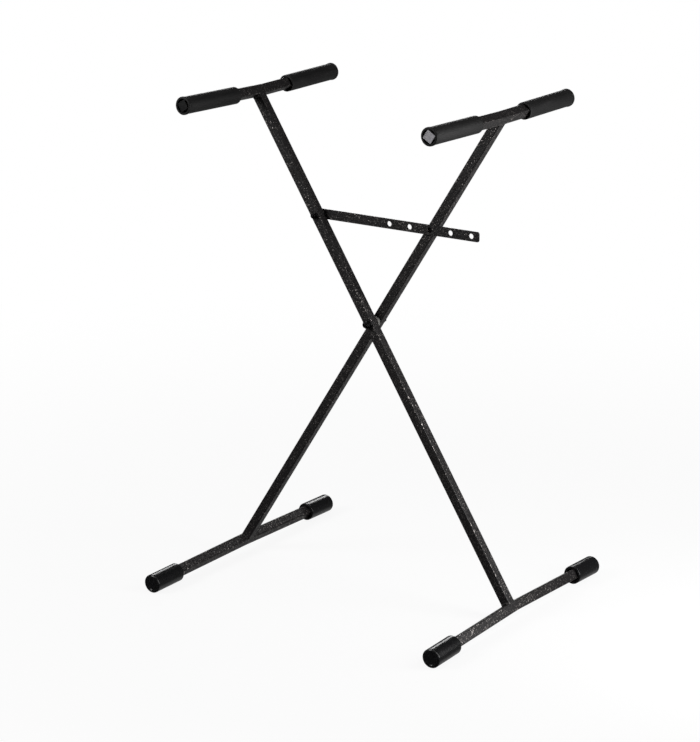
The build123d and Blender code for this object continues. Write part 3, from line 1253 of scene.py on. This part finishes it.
@dataclass
class Fasteners:
    """The nut, the washers and the bolt of one pivot through the front leg, with the bolt's axis along Z.

    Attributes:
        name: Start of the CAD nodes' names.
        axis: Frame on the bolt's axis at the front leg's front face, with Z to the front.
        bolt: The bolt's diameter.
        pitch: The thread's pitch.
        flats: The nut's width across its flats.
        nut_height: The nut's height.
        washer: The front washer's diameter.
        grip: Distance from the front leg's front face back to the underside of the bolt's head.
        hexagon_share: Share of the nut's height that is hexagonal.
        collar_share: The nut's collar, as a share of its width across its flats.
        corner_depth: How far down its corners are turned off, as a share of what stands past the flats.
        corner_limit: Radius of the turned ends, as a share of half the width across the flats.
        dish_share: Radius of the dish in a hexagon head, as a share of half that width.
        key_share: Width of a socket below its edge, as a share of its width at the edge.
        edge_share: Rounding of a washer, as a share of its thickness.
        thread_share: The thread's root, as a share of the bolt's radius.
    """

    name: str
    axis: Matrix
    bolt: float
    pitch: float
    flats: float
    nut_height: float
    washer: float
    grip: float
    washer_thickness: float = 1.6 * MM
    bolt_end: float = 1.5 * MM
    thread_share: float = 0.9
    thread_length: float = 16.0 * MM
    hexagon_share: float = 0.68
    collar_share: float = 0.89
    collar_round: float = 1.0 * MM
    corner_depth: float = 0.6
    corner_limit: float = 0.985
    dish_share: float = 0.9
    key_share: float = 0.97
    edge_share: float = 0.35
    dish_depth: float = 0.25 * MM
    clearance: float = 0.15 * MM
    steps: int = 72
    tree: ThreadTree = field(default_factory=ThreadTree)

    @property
    def tip(self) -> float:
        """Z of the bolt's tip."""
        return self.washer_thickness + self.nut_height + self.bolt_end

    def circles(self, profile: Profile) -> list[Outline]:
        """Gives a circle or pole for each point of a profile."""
        return [circle(radius, height, self.steps) for radius, height in profile]

    def hexagon_loops(self, bottom: float, top: float) -> list[Outline]:
        """Gives the outlines of a hexagon whose corners are turned off at both ends.

        Args:
            bottom: Z of its lower end.
            top: Z of its upper end.

        Returns:
            The outlines from its lower end to its upper end.
        """
        corner = self.flats / sqrt(3)
        drop = (corner - self.flats / 2) * self.corner_depth
        low, high = self.flats / 2 * self.corner_limit, corner + 1e-6
        rises = ((low, 0.0), ((low + high) / 2, drop / 2), (high, drop))
        levels = [(limit, bottom + rise) for limit, rise in rises]
        levels += [(limit, top - rise) for limit, rise in reversed(rises)]
        return [hexagon(self.flats, limit, level, self.steps) for limit, level in levels]

    def nut(self) -> bmesh.types.BMesh:
        """Builds the locking nut: hexagon, rolled collar and the nylon ring's shallow seat in it.

        Returns:
            The shape.
        """
        bottom, top = self.washer_thickness, self.washer_thickness + self.nut_height
        shoulder = bottom + self.nut_height * self.hexagon_share
        collar, bore, turn = self.flats * self.collar_share / 2, self.bolt / 2, self.collar_round
        round_part = [
            (collar, shoulder),
            *arc((collar - turn, top - turn), turn, 0, 90),
            (collar - turn - 0.3 * MM, top - self.dish_depth),
            (bore + 0.15 * MM, top - 0.35 * MM),
            (bore, top - 0.6 * MM),
            (bore, bottom + 0.5 * MM),
            (bore + 0.5 * MM, bottom),
        ]
        return loft(self.hexagon_loops(bottom, shoulder) + self.circles(round_part), ring=True)

    def ring(self, bottom: float) -> bmesh.types.BMesh:
        """Builds a stamped washer, rounded where the die drew it down and sharp underneath.

        Args:
            bottom: Z of its underside.

        Returns:
            The shape.
        """
        outer, bore = self.washer / 2, self.bolt / 2 + self.clearance
        top, edge = bottom + self.washer_thickness, self.washer_thickness * self.edge_share
        profile = [(bore, bottom), (outer - 0.1 * MM, bottom), (outer, bottom + 0.1 * MM)]
        profile += arc((outer - edge, top - edge), edge, 0, 90, 5)
        profile += arc((bore + edge / 2, top - edge / 2), edge / 2, 90, 180, 4)
        return turned(profile, self.steps, ring=True)

    def shank(self) -> Profile:
        """Gives the bolt's section from its tip's middle to the end of its shank.

        Returns:
            Pairs of radius and height.
        """
        outer, core = self.bolt / 2, self.bolt / 2 * self.thread_share - 0.15 * MM
        start = self.tip - self.thread_length
        return [
            (0.0, self.tip),
            (core - 0.7 * MM, self.tip),
            (core - 0.1 * MM, self.tip - 0.45 * MM),
            (core, self.tip - 0.8 * MM),
            (core, start),
            (outer, start - 0.6 * MM),
            (outer, -self.grip),
        ]

    def thread(self) -> bpy.types.Mesh:
        """Winds the thread's crest round the last stretch of the bolt, with its faces outwards.

        Returns:
            The crest's mesh.
        """
        depth = (self.bolt / 2) * (1 - self.thread_share) + 0.1 * MM
        values = {
            "Radius": self.bolt / 2 - depth,
            "Pitch": self.pitch,
            "Turns": (self.thread_length - 1.3 * MM) / self.pitch,
            "Depth": depth,
            "Finish": finish_material("black_fastener"),
        }
        crest = self.tree.mesh(bpy.data.meshes.new(f"{self.name}_thread"), values)
        form = bmesh.new()
        form.from_mesh(crest)
        if form.calc_volume(signed=True) < 0:
            crest.flip_normals()
        form.free()
        crest.transform(Matrix.Translation((0, 0, self.tip - self.thread_length + 0.4 * MM)))
        return crest

    def bolt_shape(self, head: list[Outline]) -> bmesh.types.BMesh:
        """Builds the bolt from its tip to its head, with its thread.

        Args:
            head: Outlines of the head, from its underside to its middle.

        Returns:
            The shape.
        """
        shape = loft(self.circles(self.shank()) + head)
        shape.from_mesh(self.thread())
        return shape

    def hexagon_head(self, height: float) -> list[Outline]:
        """Gives the outlines of a plain hexagon head with a shallow dish.

        Args:
            height: The head's height.

        Returns:
            The outlines from its underside to its middle.
        """
        top, rim = -self.grip, self.flats / 2 * self.dish_share
        bottom = top - height
        dish = [(rim, bottom), (rim - 0.6 * MM, bottom + self.dish_depth), (0.0, bottom + self.dish_depth)]
        return self.hexagon_loops(bottom, top)[::-1] + self.circles(dish)

    def button_head(
        self, diameter: float, height: float, rounding: float, key: float, depth: float
    ) -> list[Outline]:
        """Gives the outlines of a low round head with a hexagon socket.

        Args:
            diameter: The head's diameter.
            height: The head's height.
            rounding: Radius of its edge.
            key: The socket's width across its flats.
            depth: The socket's depth.

        Returns:
            The outlines from its underside to the socket's floor.
        """
        outer, bottom = diameter / 2, -self.grip - height
        edge = arc((outer - rounding, bottom + rounding), rounding, 0, -90, 8)
        socket = ((1.0, 0.0), (self.key_share, 0.15 * MM), (self.key_share, depth))
        loops = self.circles([(outer, -self.grip), *edge])
        loops += [hexagon(key * share, key, bottom + rise, self.steps) for share, rise in socket]
        return loops + self.circles([(0.0, bottom + depth + 0.3 * MM)])

    def place(self, shape: bmesh.types.BMesh, part: str, slot: str, kind: str) -> None:
        """Puts a shape on the bolt's axis and dresses it.

        Args:
            shape: The shape.
            part: End of the name of the CAD node that it replaces.
            slot: The record's material slot.
            kind: Words for the report.
        """
        node = f"{self.name}_{part}"
        settle(finish_shape(shape, f"{node}_turned", self.axis, crease=24), node, slot, kind)

    def build(self, head: list[Outline]) -> None:
        """Builds and dresses the bolt, the nut and the washer under the nut.

        Args:
            head: Outlines of the bolt's head.
        """
        self.place(self.bolt_shape(head), "bolt", "black_fastener", "bolt with thread")
        self.place(self.nut(), "nut", "black_fastener", "locking nut")
        self.place(self.ring(0.0), "nut_washer", "black_fastener", "washer")


@dataclass
class MainPivot:
    """The M8 bolt on which the legs turn, with its nut, its washers and the spacer between the legs."""

    running_gap: float = 0.3 * MM
    head_height: float = 5.3 * MM
    washer_thickness: float = 1.6 * MM
    spacer: float = 20.0 * MM
    spacer_round: float = 0.5 * MM
    spacer_groove: float = 0.35 * MM

    def build(self) -> None:
        """Builds and dresses the pivot's pieces."""
        front, rear = LAYOUT.front_leg_front, LAYOUT.rear_leg_rear
        pivot_set = Fasteners(
            name="pivot",
            axis=LAYOUT.bolt_frame(0.0, LAYOUT.pivot.z, front) @ Matrix.Rotation(pi / 2, 4, "Z"),
            bolt=8.0 * MM,
            pitch=1.25 * MM,
            flats=13.0 * MM,
            nut_height=8.0 * MM,
            washer=16.0 * MM,
            grip=rear - front + self.running_gap + self.washer_thickness,
            washer_thickness=self.washer_thickness,
        )
        pivot_set.build(pivot_set.hexagon_head(self.head_height))
        pivot_set.place(pivot_set.ring(-pivot_set.grip), "head_washer", "black_fastener", "washer")
        pivot_set.place(self.spacer_shape(pivot_set), "spacer", "light_nylon", "spacer between the legs")

    def spacer_shape(self, fasteners: Fasteners) -> bmesh.types.BMesh:
        """Builds the spacer, with rounded rims and a shallow groove round it.

        Args:
            fasteners: The bolt's set, which gives the bore and the steps.

        Returns:
            The shape.
        """
        near = LAYOUT.front_leg_front - LAYOUT.front_leg_rear
        far = LAYOUT.front_leg_front - LAYOUT.rear_leg_front + self.running_gap
        outer, bore, turn = self.spacer / 2, fasteners.bolt / 2 + fasteners.clearance, self.spacer_round
        middle, groove = (near + far) / 2, self.spacer_groove
        profile = [
            (bore, near),
            *arc((outer - turn, near - turn), turn, 90, 0),
            (outer, middle + 2 * groove),
            (outer - groove, middle + groove),
            (outer - groove, middle - groove),
            (outer, middle - 2 * groove),
            *arc((outer - turn, far + turn), turn, 0, -90),
            (bore, far),
        ]
        return turned(profile, fasteners.steps, ring=True)


@dataclass
class StrutPivot:
    """The M6 bolt on which the strut turns, with its nut and its washer."""

    running_gap: float = 0.3 * MM
    strut_thickness: float = 2.5 * MM
    strut_washer: float = 0.5 * MM
    head: float = 10.5 * MM
    head_height: float = 3.3 * MM
    head_round: float = 2.3 * MM
    key: float = 4.0 * MM
    key_depth: float = 1.7 * MM

    def build(self) -> None:
        """Builds and dresses the pivot's pieces."""
        strut_set = Fasteners(
            name="strut",
            axis=LAYOUT.bolt_frame(-LAYOUT.lock_spread, LAYOUT.lock_height, LAYOUT.front_leg_front),
            bolt=6.0 * MM,
            pitch=1.0 * MM,
            flats=10.0 * MM,
            nut_height=6.0 * MM,
            washer=12.0 * MM,
            grip=LAYOUT.tube + self.strut_washer + self.strut_thickness + 2 * self.running_gap,
            collar_round=0.8 * MM,
        )
        head = strut_set.button_head(self.head, self.head_height, self.head_round, self.key, self.key_depth)
        strut_set.build(head)


# Studio


@dataclass(frozen=True)
class SoftBox:
    """A soft rectangular lamp.

    Attributes:
        name: Its name.
        place: Where it stands.
        aim: The point that it faces.
        width: Its width.
        height: Its height.
        power: Its power in watts.
    """

    name: str
    place: Triple
    aim: Triple
    width: float
    height: float
    power: float

    def build(self) -> None:
        """Adds the lamp to the scene."""
        lamp = bpy.data.lights.new(self.name, "AREA")
        lamp.shape = "RECTANGLE"
        lamp.size, lamp.size_y, lamp.energy = self.width, self.height, self.power
        holder = add_object(self.name, lamp)
        holder.location = self.place
        toward = Vector(self.aim) - Vector(self.place)
        holder.rotation_euler = toward.to_track_quat("-Z", "Y").to_euler()
        holder.visible_camera = False


@dataclass
class Studio:
    """The camera, the lamps, the white surroundings and the floor.

    Attributes:
        front_levels: Pairs of a direction's Z and how bright the room before the stand is there.
        rear_levels: The same for the room behind the stand.
        rear_start: Y of a direction at which the room behind sets in, and where it is alone.
        floor_fade: Distances between which the floor loses the stand's shadow.
        floor_glow: Share of plain white that the camera sees near the stand and beyond.
    """

    camera_turn: float = 34.40517
    camera_rise: float = 16.07772
    camera_roll: float = 0.16503
    camera_distance: float = 4.51242
    camera_right: float = -0.04365
    camera_up: float = -0.08737
    focal_length: float = 123.584
    sensor: float = 36.0
    floor_radii: tuple[float, ...] = (0.0, 1.0, 4.0, 30.0)
    floor_steps: int = 96
    floor_drop: float = 0.2 * MM
    floor_colour: Colour = (0.86, 0.86, 0.86)
    floor_fade: tuple[float, float] = (0.4, 2.2)
    floor_glow: tuple[float, float] = (0.9, 1.0)
    front_levels: tuple[tuple[float, float], ...] = (
        (-0.36, 0.01),
        (-0.12, 0.07),
        (0.1, 0.14),
        (0.5, 0.12),
        (1.0, 0.02),
    )
    rear_levels: tuple[tuple[float, float], ...] = (
        (-1.0, 0.1),
        (-0.6, 0.38),
        (-0.4, 0.12),
        (0.2, 0.06),
        (1.0, 0.02),
    )
    rear_start: tuple[float, float] = (-0.15, 0.25)
    lamps: tuple[SoftBox, ...] = (
        SoftBox("key_front_left", (-1.8, -2.35, 2.05), (0.0, 0.0, 0.6), 1.1, 1.1, 62.0),
        SoftBox("side_right", (0.92, 0.15, 0.66), (0.27, 0.05, 0.6), 0.4, 1.2, 11.0),
        SoftBox("strip_behind", (-1.6, 2.15, 1.32), (0.0, -0.26, 0.02), 1.8, 0.36, 14.0),
        SoftBox("top", (0.2, 0.4, 3.4), (0.0, 0.0, 0.0), 1.6, 1.6, 14.0),
    )

    def camera(self) -> None:
        """Places the camera where the photograph was taken from."""
        turn, rise, roll = radians(self.camera_turn), radians(self.camera_rise), radians(self.camera_roll)
        back = Vector((sin(turn) * cos(rise), -cos(turn) * cos(rise), sin(rise)))
        level = Vector((cos(turn), sin(turn), 0))
        upright = back.cross(level)
        right = cos(roll) * level + sin(roll) * upright
        up = cos(roll) * upright - sin(roll) * level
        lens = bpy.data.cameras.new("camera")
        lens.lens, lens.sensor_width = self.focal_length, self.sensor
        lens.clip_start, lens.clip_end = 0.1, 100.0
        holder = add_object("camera", lens)
        place = LAYOUT.pivot + back * self.camera_distance + right * self.camera_right + up * self.camera_up
        holder.matrix_world = Matrix.Translation(place) @ Matrix((right, up, back)).transposed().to_4x4()
        bpy.context.scene.camera = holder

    def ramp(self, nodes: Nodes, height: Any, levels: Sequence[tuple[float, float]]) -> Any:
        """Gives the room's brightness by the height of the direction that is seen.

        Args:
            nodes: The world's node tree.
            height: Socket of the direction's Z, mapped to 0 to 1.
            levels: Pairs of a Z and its brightness.

        Returns:
            The brightness socket.
        """
        ramp = nodes.node("ShaderNodeValToRGB", Fac=height)
        points = ramp.color_ramp.elements
        points.remove(points[1])
        for number, (level, bright) in enumerate(levels):
            point = points[0] if number == 0 else points.new((level + 1) / 2)
            point.position = (level + 1) / 2
            point.color = (bright, bright, bright, 1.0)
        return ramp.outputs["Color"]

    def surroundings(self) -> None:
        """Makes the world: white for the camera, and for everything else a dim room."""
        world = bpy.data.worlds.new("white_room")
        bpy.context.scene.world = world
        world.use_nodes = True
        nodes = Nodes(world.node_tree)
        seen = nodes.node("ShaderNodeLightPath").outputs["Is Camera Ray"]
        direction = nodes.node("ShaderNodeTexCoord").outputs["Generated"]
        split = nodes.node("ShaderNodeSeparateXYZ", Vector=direction).outputs
        height = nodes.span(split["Z"], (-1.0, 1.0))
        front, rear = (self.ramp(nodes, height, levels) for levels in (self.front_levels, self.rear_levels))
        room = nodes.mix(nodes.span(split["Y"], self.rear_start), front, rear)
        background = world.node_tree.nodes["Background"]
        nodes.plug(background.inputs["Color"], nodes.mix(seen, room, (1.0, 1.0, 1.0)))

    def floor(self) -> None:
        """Makes the floor: white for the camera, dimmed a little by shadows, and unseen by gloss."""
        shape = turned([(radius, 0.0) for radius in self.floor_radii], self.floor_steps)
        piece = finish_shape(shape, "floor", Matrix.Translation((0, 0, -self.floor_drop)))
        for face in piece.data.polygons:
            if face.normal.z < 0:
                face.flip()
        shade = Shade("floor_white")
        shade.put(Base_Color=self.floor_colour, Roughness=0.9, Specular_IOR_Level=0.0)
        length = shade.node("ShaderNodeVectorMath", {"operation": "LENGTH"})
        shade.plug(length.inputs[0], shade.object_space)
        white = shade.span(length.outputs["Value"], self.floor_fade, self.floor_glow, Blend.SMOOTH)
        seen = shade.node("ShaderNodeLightPath").outputs["Is Camera Ray"]
        blend = shade.node("ShaderNodeMixShader", Fac=shade.maths("MULTIPLY", seen, white))
        shade.plug(blend.inputs[1], shade.shader.outputs["BSDF"])
        shade.plug(blend.inputs[2], shade.node("ShaderNodeEmission").outputs["Emission"])
        shade.plug(shade.tree.nodes["Material Output"].inputs["Surface"], blend.outputs["Shader"])
        piece.data.materials.append(shade.material)
        piece.visible_glossy = False

    def build(self) -> None:
        """Sets up the whole studio."""
        bpy.context.scene.view_settings.view_transform = "Standard"
        self.camera()
        self.surroundings()
        self.floor()
        for lamp in self.lamps:
            lamp.build()
        LOG.info("studio: camera, floor, white surroundings and %d lamps", len(self.lamps))


def main() -> None:
    """Builds the whole stand, sub-assembly by sub-assembly, and the studio."""
    logging.basicConfig(level=logging.INFO, format="%(message)s")
    KeptNodes().dress()
    sleeve, plug, cap, welds = ArmSleeve(), ArmPlug(), FootCap(), Welds()
    sides = (("left", "right", Leg.FRONT), ("right", "left", Leg.REAR))
    for number, (arm, foot, leg) in enumerate(sides):
        for place in Place:
            seed = 2 * number + (1 if place is Place.REAR else 0)
            grey = arm == "right" and place is Place.FRONT
            sleeve.build(arm, leg, place, "arm_sleeve", seed)
            plug.build(arm, leg, place, "grey_plug" if grey else "black_plug")
            cap.build(foot, leg, place, "foot_rubber", seed)
        welds.build(f"{arm}_arm_weld", leg, LAYOUT.arm, 3.0 * number)
        welds.build(f"{foot}_foot_weld", leg, LAYOUT.foot, 3.0 * number + 1.5)
    MainPivot().build()
    StrutPivot().build()
    Studio().build()


if __name__ == "__main__":
    main()
